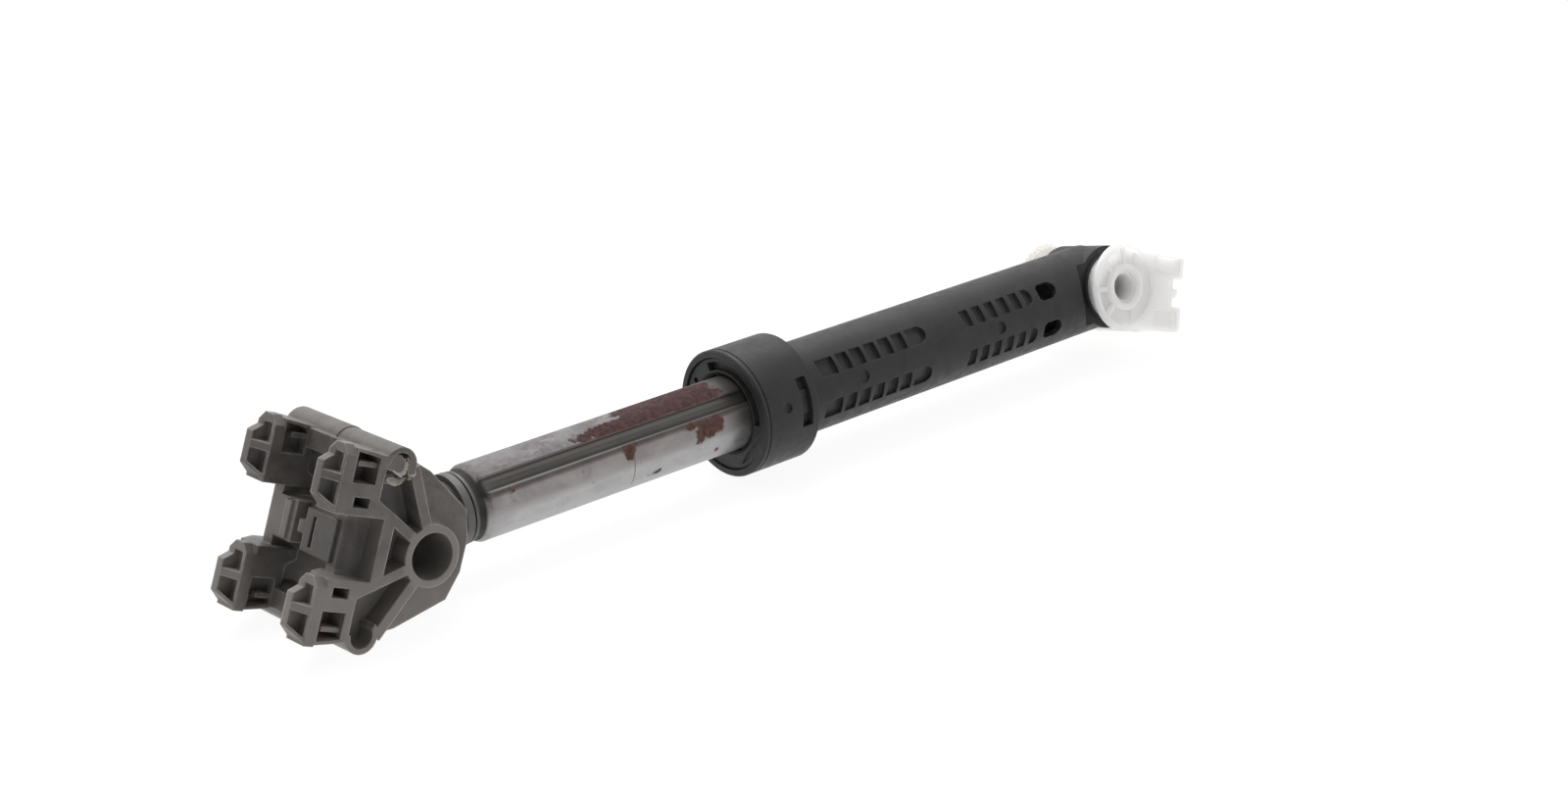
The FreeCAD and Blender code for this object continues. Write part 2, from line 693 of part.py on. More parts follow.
class Half:
    """One moulded half of a clip bracket, built outwards from the seam."""

    def __init__(self, label, near):
        self.body = new_body(label)
        self.near = near
        self.count = 0

    def drawing(self, depth):
        """A sketch at a depth outwards from the seam."""
        self.count += 1
        name = self.body.Name + "Sketch" + str(self.count)
        return sketch(self.body, "XZ_Plane", name, depth)

    def add(self, outlines, start, stop):
        """Material between two depths."""
        made = self.drawing(start if self.near else -dim(start))
        for outline in outlines:
            polygon(made, outline)
        pad(self.body, made, stop - dim(start), back=not self.near)

    def add_round(self, x, y, radius, start, stop):
        """A round boss between two depths."""
        made = self.drawing(start if self.near else -dim(start))
        circle(made, x, y, radius)
        pad(self.body, made, stop - dim(start), back=not self.near)

    def cut(self, outlines, start, stop):
        """Material taken away between two depths."""
        made = self.drawing(stop if self.near else -dim(stop))
        for outline in outlines:
            polygon(made, outline)
        pocket(self.body, made, stop - dim(start), back=not self.near)

    def cut_round(self, x, y, radius, start, stop):
        """A round hole between two depths."""
        made = self.drawing(stop if self.near else -dim(stop))
        circle(made, x, y, radius)
        pocket(self.body, made, stop - dim(start), back=not self.near)

    def level(self, height, points):
        """An outline at a height, its corners along the bracket and out from the seam."""
        self.count += 1
        sign = -1.0 if self.near else 1.0
        made = sketch(self.body, "XY_Plane", self.body.Name + "Sketch" + str(self.count), height)
        polygon(made, [(along, out * sign) for along, out in points])
        return made

    def across(self, place, points):
        """An outline across the bracket at a place along it, its corners out from the seam and up."""
        self.count += 1
        sign = -1.0 if self.near else 1.0
        made = sketch(self.body, "YZ_Plane", self.body.Name + "Sketch" + str(self.count), place)
        polygon(made, [(out * sign, up) for out, up in points])
        return made


def both_ways(points):
    """An outline and its mirror image below the middle."""
    return [points, [(x, -dim(y)) for x, y in reversed(points)]]


# Lower bracket
# grey clip bracket in two mating halves: trunnions, ribbed webs, seam bars and four snap feet
foot = size["foot_pitch"] * 0.5
face = size["lower_half_width"]
web = size["web_outer"]
web_inner = size["lower_eye_half"] + seat + size["bush_flange"] + 0.15
shoulder = -size["shoulder_front"]
head_mid = shoulder - size["head_base"]
head_tip = head_mid - size["head_length"]
foot_in = size["foot_in"]
web_in = size["head_web_in"]
web_out = web_in + size["head_web"]
seam = seat * 0.5
bar_x = -size["bar_back"]
bar_y = size["bar_height"]
bar_hollow = size["bar_hollow"]
top = size["shoulder_top"]
foot_tall = size["head_half_height"]
lower_halves = []
for label, near in (("lower_bracket_near", True), ("lower_bracket_far", False)):
    made = Half(label, near)
    lower_halves.append(made.body)
    # web plate beside the eye, reaching past it towards the tube
    made.add([[
        (-22.6, 24.6), (-12.0, 24.6), (-2.0, 21.1), (12.4, 12.3), (15.0, 4.6),
        (15.0, -4.6), (12.4, -12.3), (-2.0, -21.1), (-12.0, -24.6), (-22.6, -24.6),
        (-22.6, -8.3), (-24.5, -8.3), (-24.5, 8.3), (-22.6, 8.3)]], web_inner, web)
    # trunnion inside the eye, and the ring round the bore outside
    made.add_round(0.0, 0.0, size["lower_trunnion"], 0.3, face)
    # round bars along the seam, the near half a little smaller, with a block before each
    bar_radius = size["bar_radius"] - size["bar_step"] if near else size["bar_radius"]
    for sign in (1.0, -1.0):
        made.add_round(bar_x, bar_y * sign, bar_radius, seam, face)
    made.add(both_ways([
        (bar_x, 19.0), (bar_x, top - 1.4), (-22.6, top - 1.4), (-22.6, 19.0)]), seam, face)
    # ribs from the bars to the ring, and from the ring to the shoulders
    made.add(both_ways([
        (-10.6, 23.2), (-12.9, 21.0), (-4.9, 6.6), (-2.3, 7.8)]), web, face)
    made.add(both_ways([
        (-20.8, 13.1), (-20.8, 9.6), (-17.2, 8.3), (-7.4, 2.8), (-6.2, 5.3)]), web, face)
    made.add([[(-17.5, -9.0), (-14.0, -9.0), (-14.0, 9.0), (-17.5, 9.0)]], web, face)
    # foot shoulders
    made.add(both_ways([
        (-17.5, 8.3), (-17.5, 11.0), (-20.5, 12.9), (-20.5, top - 1.2),
        (shoulder, top), (shoulder, 8.3)]), foot_in, face)
    # hollows of the bars, square windows and side notches of the shoulders
    made.cut_round(bar_x, bar_y, bar_hollow, web, face)
    made.cut_round(bar_x, -bar_y, bar_hollow, web, face)
    made.cut(both_ways([
        (-20.4, 13.6), (-20.4, 22.4), (-19.0, 22.6), (-14.0, 21.0), (-13.2, 19.6),
        (-6.6, 7.2), (-7.4, 6.2)]), web, face)
    made.cut(both_ways([
        (-23.2, 10.4), (-23.2, 13.1), (-28.2, 13.1), (-28.2, 10.4)]), web - 2.5, face)
    notches = both_ways([
        (-22.8, 16.7), (-22.8, top - 1.9), (shoulder + 0.4, top - 0.8), (shoulder + 0.4, 16.7)])
    made.cut(notches, web - 0.5, face)
    made.cut(notches, foot_in, foot_in + 4.0)
    made.add(both_ways([
        (-22.6, 20.9), (-22.6, 22.2), (-28.4, 22.2), (-28.4, 20.9)]), web - 0.7, face - 1.2)
    made.add(both_ways([
        (-22.6, 20.9), (-22.6, 22.2), (-27.0, 22.2), (-27.0, 20.9)]), foot_in + 0.8, foot_in + 4.2)
    # snap heads, alike on all four feet: base slab, web, middle rib, lower flange and two panels
    slab_in = web_in if near else foot_in
    slab_out = face if near else web_out
    back_depth = web_in if near else web_out
    front_depth = web_out if near else web_in
    rib_end = slab_out if near else slab_in
    panel_end = slab_out - size["head_rim"] if near else slab_in + size["head_rim"]
    bare_side = foot_in - 0.1 if near else face + 0.1
    # the shoulder is cut back at a slant beside the heads
    slant = made.level(-size["lower_half_width"] * 1.3, [
        (shoulder - 0.1, back_depth), (shoulder - 0.1, bare_side), (-23.4, bare_side)])
    pocket(made.body, slant, size["lower_half_width"] * 2.6, back=True)
    for middle in (foot, -foot):
        corner = size["head_corner"]
        slab = made.across(shoulder, [
            (slab_in, middle - foot_tall), (slab_out, middle - foot_tall),
            (slab_out, middle + foot_tall - corner), (slab_out - corner, middle + foot_tall),
            (slab_in + corner, middle + foot_tall), (slab_in, middle + foot_tall - corner)])
        pad(made.body, slab, size["head_base"], back=True)
        low = middle - size["taper_low"]
        tip_low = middle - size["tip_low"]
        made.add([[
            (head_mid, low), (head_mid, middle + size["taper_high"]),
            (head_tip, middle + size["tip_high"]), (head_tip, tip_low)]], web_in, web_out)
        rib = made.level(middle - 0.9, [
            (head_mid, back_depth), (head_tip, back_depth), (head_tip, front_depth),
            (head_mid, rib_end)])
        pad(made.body, rib, size["head_rib"])
        base = made.across(head_mid, [
            (slab_in, low), (slab_out, low),
            (slab_out, low + size["head_flange"]), (slab_in, low + size["head_flange"])])
        tip = made.across(head_tip, [
            (web_in, tip_low), (web_out, tip_low),
            (web_out, tip_low + size["head_flange"]), (web_in, tip_low + size["head_flange"])])
        loft(made.body, base, tip)
        high = middle + foot_tall - size["head_rim"]
        rib_low = middle - 0.9
        rib_high = rib_low + size["head_rib"]
        low = low + size["head_flange"]
        for bottom, ceiling in ((low, rib_low), (rib_high, high - corner * 0.5)):
            panel = made.across(head_mid, [
                (front_depth, bottom), (panel_end, bottom), (panel_end, ceiling), (front_depth, ceiling)])
            pocket(made.body, panel, size["head_panel"], back=True)
    # front block between the feet, closed at the seam by a tab and its stop
    if near:
        made.add([[(-13.6, -6.0), (-25.3, -6.0), (-25.3, 5.2), (-13.6, 5.2)]], 1.2, web)
        made.add([[(-21.0, -1.8), (-25.3, -1.8), (-25.3, 1.6), (-21.0, 1.6)]], -1.5, 1.3)
        made.cut([[(-23.4, -4.6), (-26.0, -4.6), (-26.0, 3.6), (-23.4, 3.6)]], 4.3, 5.6)
        made.cut([[(-24.5, -7.0), (-26.0, -7.0), (-26.0, 7.0), (-24.5, 7.0)]], 14.6, web + 0.1)
    else:
        made.add([[(-13.6, -5.6), (-24.5, -5.6), (-24.5, 5.6), (-13.6, 5.6)]], 5.0, web)
        made.add([[(-13.6, -5.0), (-20.0, -5.0), (-20.0, 5.0), (-13.6, 5.0)]], seam, 5.2)
        made.add([[(-23.5, -5.6), (-25.4, -5.0), (-25.4, 5.0), (-23.5, 5.6)]], 6.6, 9.2)
    # torn skin left over the hollow of the upper bar, on the near half only
    if near:
        made.add([[
            (-20.4, 21.1), (-18.1, 21.0), (-15.9, 20.2), (-14.3, 20.7), (-14.8, 23.1),
            (-16.6, 25.1), (-19.3, 25.2), (-20.7, 24.0)]], face - 1.2, face - 0.1)
        made.add([[
            (-15.1, 24.8), (-13.9, 22.6), (-13.6, 20.3), (-11.8, 20.6), (-12.6, 23.4)]],
            face - 1.0, face)
        made.add([[
            (-20.7, 19.6), (-20.7, 18.0), (-18.7, 17.1), (-15.4, 17.2), (-13.0, 18.8),
            (-14.2, 20.0), (-15.6, 19.2), (-17.8, 19.8)]], face - 2.9, face - 1.6)
    made.cut_round(0.0, 0.0, size["lower_bore"], 0.0, face + 1.0)
    tilt_lower(made.body)


# Upper bracket
# white clip bracket in two mating halves, discs beside the upper eye and two blocks in front
block_back = size["upper_eye_radius"] + 2.4
front = size["upper_front"]
high = size["upper_half_height"]
side = size["upper_half_width"]
disc_in = size["upper_eye_half"] + seat + size["bush_flange"] + 0.15
upper_halves = []
for label, near in (("upper_bracket_near", True), ("upper_bracket_far", False)):
    made = Half(label, near)
    upper_halves.append(made.body)
    made.add_round(0.0, 0.0, size["upper_boss"], disc_in, side)
    made.add_round(0.0, 0.0, size["upper_disc"] - size["upper_rim"], side - size["upper_floor"], side)
    made.add_round(0.0, 0.0, size["upper_disc"], side - size["upper_rim"], side)
    made.add([[
        (0.0, -high), (front - 4.4, -high), (front - 4.4, high), (0.0, high)]], disc_in, side)
    made.add_round(0.0, 0.0, size["upper_trunnion"], 0.3, disc_in + 1.0)
    # front blocks with rounded noses, and the bridge between them along the seam
    made.add(both_ways([
        (block_back, 4.6), (front - 0.8, 4.6), (front, 5.4), (front, high - 1.2),
        (front - 1.2, high), (block_back, high)]), seam, side)
    made.add([[
        (block_back, -5.0), (front - 4.6, -5.0), (front - 4.6, 5.0), (block_back, 5.0)]],
        seam, disc_in + 1.0)
    made.add([[
        (front - 5.0, -1.4), (front - 1.6, -1.4), (front - 1.1, -0.7), (front - 1.1, 0.7),
        (front - 1.6, 1.4), (front - 5.0, 1.4)]], side - 6.0, side - 1.0)
    # ring recess round the boss of the bore, crossed by ribs
    recess = side - size["upper_floor"] + 0.9
    made.cut_round(0.0, 0.0, size["upper_disc"] - 2.0, recess, side)
    made.add_round(0.0, 0.0, size["upper_bore"] + 3.2, recess - 0.2, side)
    ribs = []
    for degrees in (100, 145, 190, 235):
        turn = dim(degrees)
        aside_x = -(0.7 * sine(turn))
        aside_y = 0.7 * cosine(turn)
        inner_x = (size["upper_bore"] + 2.6) * cosine(turn)
        inner_y = (size["upper_bore"] + 2.6) * sine(turn)
        outer_x = (size["upper_disc"] - 1.6) * cosine(turn)
        outer_y = (size["upper_disc"] - 1.6) * sine(turn)
        ribs.append([(inner_x - aside_x, inner_y - aside_y), (outer_x - aside_x, outer_y - aside_y),
                     (outer_x + aside_x, outer_y + aside_y), (inner_x + aside_x, inner_y + aside_y)])
    made.add(ribs, recess - 0.2, side - 0.4)
    made.add([[
        (4.0, -high + 1.0), (block_back, -high + 1.0), (block_back, high - 1.0),
        (4.0, high - 1.0)]], recess - 0.2, side - 1.0)
    made.cut(both_ways([
        (block_back - 2.0, 6.2), (front - 2.0, 6.2), (front - 2.0, high - 1.6),
        (block_back - 2.0, high - 1.6)]), side - 1.8, side)
    # through bore, flared at its mouth
    made.cut_round(0.0, 0.0, size["upper_bore"] + 1.2, side - 1.2, side + 1.0)
    made.cut_round(0.0, 0.0, size["upper_bore"], 0.0, side + 1.0)
    place_on_upper_pivot(made.body, size["upper_tilt"])


doc.recompute()
for thing in doc.Objects:
    if "Invalid" in thing.State or "Error" in thing.State:
        raise RuntimeError(thing.Name + " did not build")
bodies = [steel, lower_eye, housing, cap, lining, backing, guide, stop_pad]
bodies += bushes + lower_halves + upper_halves
os.makedirs("parts", exist_ok=True)
for piece in bodies:
    shape = piece.Shape
    if shape.isNull() or not shape.isValid():
        raise RuntimeError(piece.Label + " is not a sound solid")
    if len(shape.Solids) != 1:
        raise RuntimeError(piece.Label + " is not one solid")
    shape.exportStep("parts/" + piece.Label + ".step")
    low = shape.BoundBox.ZMin
    print(piece.Label, round(shape.Volume, 1), len(shape.Faces), "lowest", round(low, 2))
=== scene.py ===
# A worn washing machine shock absorber, lying on its two clip brackets on a white studio floor.

import math

import bpy
from mathutils import Matrix, Vector
from mathutils import noise as hills


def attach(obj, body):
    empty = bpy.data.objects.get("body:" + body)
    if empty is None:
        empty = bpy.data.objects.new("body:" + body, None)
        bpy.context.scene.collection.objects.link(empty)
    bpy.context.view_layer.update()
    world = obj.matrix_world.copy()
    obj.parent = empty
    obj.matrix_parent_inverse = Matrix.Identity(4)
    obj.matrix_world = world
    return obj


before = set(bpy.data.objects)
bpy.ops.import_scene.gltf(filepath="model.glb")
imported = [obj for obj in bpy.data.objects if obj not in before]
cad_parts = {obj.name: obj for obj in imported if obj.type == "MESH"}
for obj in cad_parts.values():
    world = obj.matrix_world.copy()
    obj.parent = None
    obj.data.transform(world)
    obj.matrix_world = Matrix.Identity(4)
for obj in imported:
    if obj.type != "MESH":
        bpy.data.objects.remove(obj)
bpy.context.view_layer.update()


# Steel tube
# A thin strip of steel rolled into a tube, with its seam pressed in as a long groove. The plating
# has gone on the upper side, rust has spread along the groove, and both ends are darkened, with dirt at
# the neck.


def node(tree, kind, sockets=None, **settings):
    """A shader node with its settings, and its sockets filled with numbers or with other sockets."""
    made = tree.nodes.new("ShaderNode" + kind)
    for name, value in settings.items():
        setattr(made, name, value)
    for name, value in (sockets or {}).items():
        if isinstance(value, bpy.types.NodeSocket):
            tree.links.new(value, made.inputs[name])
        else:
            made.inputs[name].default_value = value
    return made


def maths(tree, operation, first, second=0.0, third=0.0, clamp=False):
    """One sum on sockets or numbers."""
    return node(tree, "Math", {0: first, 1: second, 2: third},
                operation=operation, use_clamp=clamp).outputs[0]


def times(tree, first, second):
    """Two shares taken together."""
    return maths(tree, "MULTIPLY", first, second)


def most(tree, first, *others):
    """The largest of several shares."""
    for other in others:
        first = maths(tree, "MAXIMUM", first, other)
    return first


def noise(tree, place, scale, detail=4.0, roughness=0.55, distortion=0.0):
    """Cloudy variation about a half."""
    return node(tree, "TexNoise", {
        "Vector": place, "Scale": scale, "Detail": detail, "Roughness": roughness,
        "Distortion": distortion}).outputs["Fac"]


def ramp(tree, value, low, high, bottom=0.0, top=1.0):
    """A number eased from bottom to top while the value goes from low to high."""
    return node(tree, "MapRange", {
        "Value": value, "From Min": low, "From Max": high, "To Min": bottom, "To Max": top},
        interpolation_type="SMOOTHSTEP").outputs["Result"]


def band(tree, value, low, high, soft):
    """One between two numbers, easing to nought outside them."""
    return times(tree, ramp(tree, value, low - soft, low + soft),
                 ramp(tree, value, high + soft, high - soft))


def blend(tree, share, first, second):
    """One colour going over into another."""
    return node(tree, "Mix", {"Factor": share, 6: first, 7: second},
                data_type="RGBA").outputs[2]


def coated(tree, base, *coats):
    """A base with coats laid over it in turn, each given as its share and its colour."""
    for share, colour in coats:
        base = blend(tree, share, base, colour)
    return base


def stretched(tree, place, scale):
    """Object coordinates, stretched or squeezed along each axis."""
    return node(tree, "Mapping", {"Vector": place, "Scale": scale}).outputs[0]


def new_material(name):
    """An empty material with its shader and output joined."""
    material = bpy.data.materials.new(name)
    material.use_nodes = True
    tree = material.node_tree
    tree.nodes.clear()
    shader = node(tree, "BsdfPrincipled")
    node(tree, "OutputMaterial", {"Surface": shader.outputs["BSDF"]})
    return material, tree, shader


def dress(node_name, material):
    """Give a node of the frame its finish."""
    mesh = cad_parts[node_name].data
    mesh.materials.clear()
    mesh.materials.append(material)


# Places along the tube are in millimetres from the lower pivot, and places round it in degrees
# up from the near side.
millimetres = 1000.0
tube_radius = 11.0
neck = 27.2
groove_low = 29.5
groove_high = 52.5
hairline_from = 77.1
hairline_to = 77.5
collar_dark_from = 114.0
collar_dark_to = 124.0
steel, tree, shader = new_material("rolled_steel")
place = node(tree, "TexCoord").outputs["Object"]
axes = node(tree, "SeparateXYZ", {"Vector": place}).outputs
along = times(tree, axes["X"], millimetres)
turn = maths(tree, "ARCTAN2", axes["Z"], times(tree, axes["Y"], -1.0))
around = times(tree, turn, tube_radius)
degrees = times(tree, turn, math.degrees(1.0))
cloud = noise(tree, place, 110.0, 6.0, 0.65, 0.6)
mottle = ramp(tree, noise(tree, place, 620.0, 6.0, 0.65), 0.36, 0.64)
streaks = noise(tree, stretched(tree, place, (18.0, 260.0, 260.0)), 1.0, 5.0, 0.6)
scuff = noise(tree, stretched(tree, place, (150.0, 360.0, 360.0)), 1.0, 8.0, 0.75, 0.5)
scuff = ramp(tree, scuff, 0.54, 0.66)

# Each rust mark has its middle along and round the tube, half its length and half its height,
# all in millimetres. The marks run together, with a ragged edge.
rust_marks = [
    (96.0, 16.6, 18.5, 6.6), (76.0, 12.3, 13.5, 2.7), (66.0, 12.2, 5.0, 1.7), (110.0, 12.2, 4.5, 2.2),
    (87.0, 11.8, 14.0, 2.4), (103.0, 12.0, 11.0, 2.8), (104.6, 2.5, 5.2, 2.9), (100.0, 4.3, 4.0, 1.2),
    (108.0, 3.4, 2.2, 2.0), (101.4, 0.6, 2.2, 2.0), (76.2, 4.0, 2.3, 2.7), (77.3, 5.2, 2.2, 0.9),
    (85.9, -5.9, 1.8, 0.7), (107.6, -5.6, 1.2, 0.8), (62.9, -1.7, 0.5, 0.4), (36.2, 4.2, 0.9, 0.6)]
ragged_reach = 4.2
spread = []
for mark_along, mark_around, half_length, half_height in rust_marks:
    gap_along = maths(tree, "DIVIDE", maths(tree, "SUBTRACT", along, mark_along), half_length)
    gap_around = maths(tree, "DIVIDE", maths(tree, "SUBTRACT", around, mark_around), half_height)
    square = maths(tree, "MULTIPLY_ADD", gap_along, gap_along, times(tree, gap_around, gap_around))
    inward = maths(tree, "SUBTRACT", 1.0, maths(tree, "SQRT", square))
    spread.append(times(tree, inward, min(half_length, half_height)))
ragged = maths(tree, "SUBTRACT", noise(tree, place, 420.0, 6.0, 0.62), 0.5)
rust = ramp(tree, maths(tree, "MULTIPLY_ADD", ragged, ragged_reach, most(tree, *spread)), -0.25, 0.45)

# The groove is clean of rust, with a dark line along its upper edge. Its upper wall is painted lighter
# and its crease darker as painted light and shade, with a painted highlight on its lower rim and
# painted shade below it.
in_groove = times(tree, band(tree, degrees, groove_low, groove_high, 1.2),
                  ramp(tree, along, neck - 0.6, neck + 0.8))
rust = times(tree, rust, maths(tree, "SUBTRACT", 1.0, in_groove))
past_neck = ramp(tree, along, neck + 0.2, neck + 1.8)
# Painted shade: a dark band on the steel just below the groove's lower edge.
lip_line = maths(tree, "ADD", degrees, ramp(tree, along, neck + 0.8, 95.0, 1.2, 0.0))
shade_below_groove = times(tree, ramp(tree, lip_line, groove_low - 11.0, groove_low - 3.5),
                  ramp(tree, lip_line, groove_low + 0.6, groove_low - 1.2))
shade_below_groove = times(tree, shade_below_groove,
                  times(tree, past_neck, ramp(tree, cloud, 0.3, 0.55, 0.8, 0.97)))
# Painted highlight along the groove's lower rim, stronger towards the neck.
groove_rim_highlight = times(tree, band(tree, degrees, groove_low - 0.2, groove_low + 1.8, 0.7),
            times(tree, past_neck, ramp(tree, along, 110.0, 40.0, 0.3, 0.75)))
over_line = times(tree, band(tree, degrees, groove_high - 1.6, groove_high + 3.0, 1.0),
                  times(tree, past_neck, 0.75))
# Painted shade in the crease of the groove's floor.
crease_shade = times(tree, band(tree, degrees, groove_low + 3.0, groove_low + 6.5, 1.2), 0.8)
groove_floor = coated(
    tree,
    blend(tree, ramp(tree, streaks, 0.35, 0.65), (0.045, 0.042, 0.039, 1), (0.085, 0.080, 0.075, 1)),
    # The upper wall of the groove is painted lighter, as painted light.
    (ramp(tree, degrees, groove_high - 10.0, groove_high - 5.0), (0.17, 0.158, 0.148, 1)),
    (crease_shade, (0.036, 0.032, 0.029, 1)))

# Plating is left on the near side, streaked and tarnished, with painted shade on it below the groove.
# The upper side is worn to mottled steel.
upper = times(tree, ramp(tree, degrees, 38.0, 60.0), ramp(tree, degrees, 172.0, 125.0))
# Tarnish, and painted shade on the near side up to the groove.
tarnish_and_shade = times(tree, band(tree, degrees, -5.0, 60.0, 11.0),
                ramp(tree, cloud, 0.3, 0.65, 0.46, 0.78))
pit = ramp(tree, noise(tree, place, 800.0, 4.0, 0.6), 0.64, 0.72)
plating = blend(tree, ramp(tree, cloud, 0.30, 0.70), (0.335, 0.330, 0.330, 1), (0.44, 0.438, 0.44, 1))
worn = coated(
    tree,
    blend(tree, ramp(tree, cloud, 0.38, 0.62), (0.105, 0.093, 0.095, 1), (0.19, 0.178, 0.183, 1)),
    (times(tree, mottle, 0.4), (0.23, 0.218, 0.222, 1)),
    (times(tree, scuff, 0.5), (0.34, 0.328, 0.332, 1)))

# A hairline crosses the near side, and dirt has gathered at the neck. The ring at the neck, the start
# of the groove and the upper side by the collar are darkened.
hairline = times(tree, band(tree, along, hairline_from, hairline_to, 0.2),
                 band(tree, around, -8.0, 3.0, 0.6))
smudge = times(tree, ramp(tree, along, neck + 5.8, neck - 0.7),
               ramp(tree, cloud, 0.35, 0.6, 0.15, 0.55))
darkened_by_collar = times(tree, band(tree, along, collar_dark_from, collar_dark_to, 3.5), band(tree, degrees, 32.0, 110.0, 16.0))
darkened_by_collar = times(tree, darkened_by_collar, 0.85)
groove_end = times(tree, band(tree, degrees, 22.0, 54.0, 7.0),
                   band(tree, along, neck - 2.2, neck + 1.4, 1.0))
# The ring at the neck and the start of the groove are darkened nearly to black.
dark_at_neck = times(tree, band(tree, along, neck - 2.3, neck, 0.5), ramp(tree, streaks, 0.2, 0.6, 1.0, 0.85))
dark_at_neck = most(tree, dark_at_neck, times(tree, groove_end, 0.9))
bare = coated(
    tree, plating,
    (times(tree, ramp(tree, streaks, 0.45, 0.7), 0.4), (0.50, 0.498, 0.50, 1)),
    (tarnish_and_shade, (0.190, 0.164, 0.159, 1)),
    (upper, worn),
    (times(tree, pit, 0.5), (0.09, 0.074, 0.07, 1)),
    (in_groove, groove_floor),
    (shade_below_groove, (0.085, 0.066, 0.061, 1)),
    (over_line, (0.055, 0.044, 0.041, 1)),
    (groove_rim_highlight, (0.40, 0.385, 0.37, 1)),
    (times(tree, hairline, 0.7), (0.13, 0.10, 0.09, 1)),
    (smudge, (0.13, 0.12, 0.112, 1)),
    (darkened_by_collar, (0.040, 0.037, 0.033, 1)),
    (dark_at_neck, (0.016, 0.0145, 0.013, 1)))
near_rust = blend(tree, mottle, (0.080, 0.042, 0.036, 1), (0.135, 0.074, 0.062, 1))
upper_rust = blend(tree, mottle, (0.042, 0.021, 0.021, 1), (0.076, 0.041, 0.040, 1))
rusty = coated(
    tree, near_rust,
    (upper, upper_rust),
    (times(tree, scuff, 0.18), (0.15, 0.12, 0.115, 1)))
tree.links.new(blend(tree, rust, bare, rusty), shader.inputs["Base Color"])

# Rust, dirt, wear, the groove, the painted shade below it and the darkened ends take the shine of the
# metal away, and rust is pitted.
stain = most(tree, rust, over_line)
dulled = most(tree, stain, shade_below_groove, dark_at_neck, darkened_by_collar,
              times(tree, upper, 0.75), times(tree, in_groove, 0.8))
tree.links.new(maths(tree, "MULTIPLY_ADD", dulled, -0.8, 0.8, clamp=True), shader.inputs["Metallic"])
dull = maths(tree, "MULTIPLY_ADD", dulled, 0.26, ramp(tree, cloud, 0.3, 0.7, 0.36, 0.5))
tree.links.new(dull, shader.inputs["Roughness"])
matt_places = most(tree, stain, dark_at_neck)
tree.links.new(ramp(tree, matt_places, 0.0, 1.0, 0.35, 0.10), shader.inputs["Specular IOR Level"])
pitted = maths(tree, "MULTIPLY_ADD", noise(tree, place, 1600.0, 4.0, 0.6), stain,
               times(tree, streaks, 0.25))
bump = node(tree, "Bump", {"Height": pitted, "Strength": 0.35, "Distance": 0.0002})
tree.links.new(bump.outputs["Normal"], shader.inputs["Normal"])
dress("steel_tube", steel)


# Lower eye and its bushes
# A light grey plastic plug that the tube end is rolled onto, with a barrel across it.
# Two black rubber bushes in the barrel carry the trunnions of the grey bracket.


def edges(tree, rounded):
    """One along the outward edges, where the rounded surface turns away from the flat one."""
    edge_reach = 0.0012
    flat = node(tree, "NewGeometry").outputs["Normal"]
    same = node(tree, "VectorMath", {0: rounded, 1: flat}, operation="DOT_PRODUCT").outputs["Value"]
    open_side = node(tree, "AmbientOcclusion", {"Distance": edge_reach}, samples=8).outputs["AO"]
    return times(tree, ramp(tree, same, 0.985, 0.86), ramp(tree, open_side, 0.62, 0.92))


def moulded_plastic(name, colour, shade, roughness, grain, round_edge, edge_wear_and_highlight=None):
    """Moulded plastic: two close tones, a fine grain, softly rounded edges and paler ones, from wear
    and painted highlight.
    """
    material, tree, shader = new_material(name)
    place = node(tree, "TexCoord").outputs["Object"]
    tone = ramp(tree, noise(tree, place, 90.0, 6.0, 0.6), 0.3, 0.7)
    base = blend(tree, tone, shade, colour)
    speck = noise(tree, place, 2600.0, 3.0, 0.6)
    rounded = node(tree, "Bevel", {"Radius": round_edge}, samples=8).outputs["Normal"]
    # Paler outward edges, partly wear and partly a painted highlight.
    if edge_wear_and_highlight is not None:
        rubbed = ramp(tree, noise(tree, place, 240.0, 4.0, 0.6), 0.3, 0.65, 0.25, 0.95)
        base = blend(tree, times(tree, edges(tree, rounded), rubbed), base, edge_wear_and_highlight)
    bump = node(tree, "Bump", {
        "Height": speck, "Strength": grain, "Distance": 0.0001, "Normal": rounded})
    tree.links.new(bump.outputs["Normal"], shader.inputs["Normal"])
    tree.links.new(ramp(tree, noise(tree, place, 320.0, 5.0, 0.6), 0.3, 0.7,
                        roughness - 0.07, roughness + 0.08), shader.inputs["Roughness"])
    return material, tree, shader, base


def recess_tint(tree, base, depth, strength, recess_colour):
    """A colour laid into corners and recesses."""
    shade = node(tree, "AmbientOcclusion", {"Distance": depth}, samples=8).outputs["AO"]
    return blend(tree, ramp(tree, shade, 0.75, 0.25, 0.0, strength), base, recess_colour)


plug_plastic, tree, shader, base = moulded_plastic(
    "plug_plastic", colour=(0.118, 0.111, 0.104, 1), shade=(0.066, 0.062, 0.058, 1),
    roughness=0.5, grain=0.25, round_edge=0.00025, edge_wear_and_highlight=(0.23, 0.218, 0.205, 1))
# The plug's corners and recesses are darkened nearly to black.
base = recess_tint(tree, base, depth=0.003, strength=0.85, recess_colour=(0.026, 0.024, 0.021, 1))
tree.links.new(base, shader.inputs["Base Color"])
dress("lower_eye", plug_plastic)

rubber, tree, shader, base = moulded_plastic(
    "bush_rubber", colour=(0.022, 0.022, 0.022, 1), shade=(0.014, 0.014, 0.014, 1),
    roughness=0.7, grain=0.5, round_edge=0.0002)
tree.links.new(base, shader.inputs["Base Color"])
for bush in ("lower_bush_near", "lower_bush_far", "upper_bush_near", "upper_bush_far"):
    dress(bush, rubber)


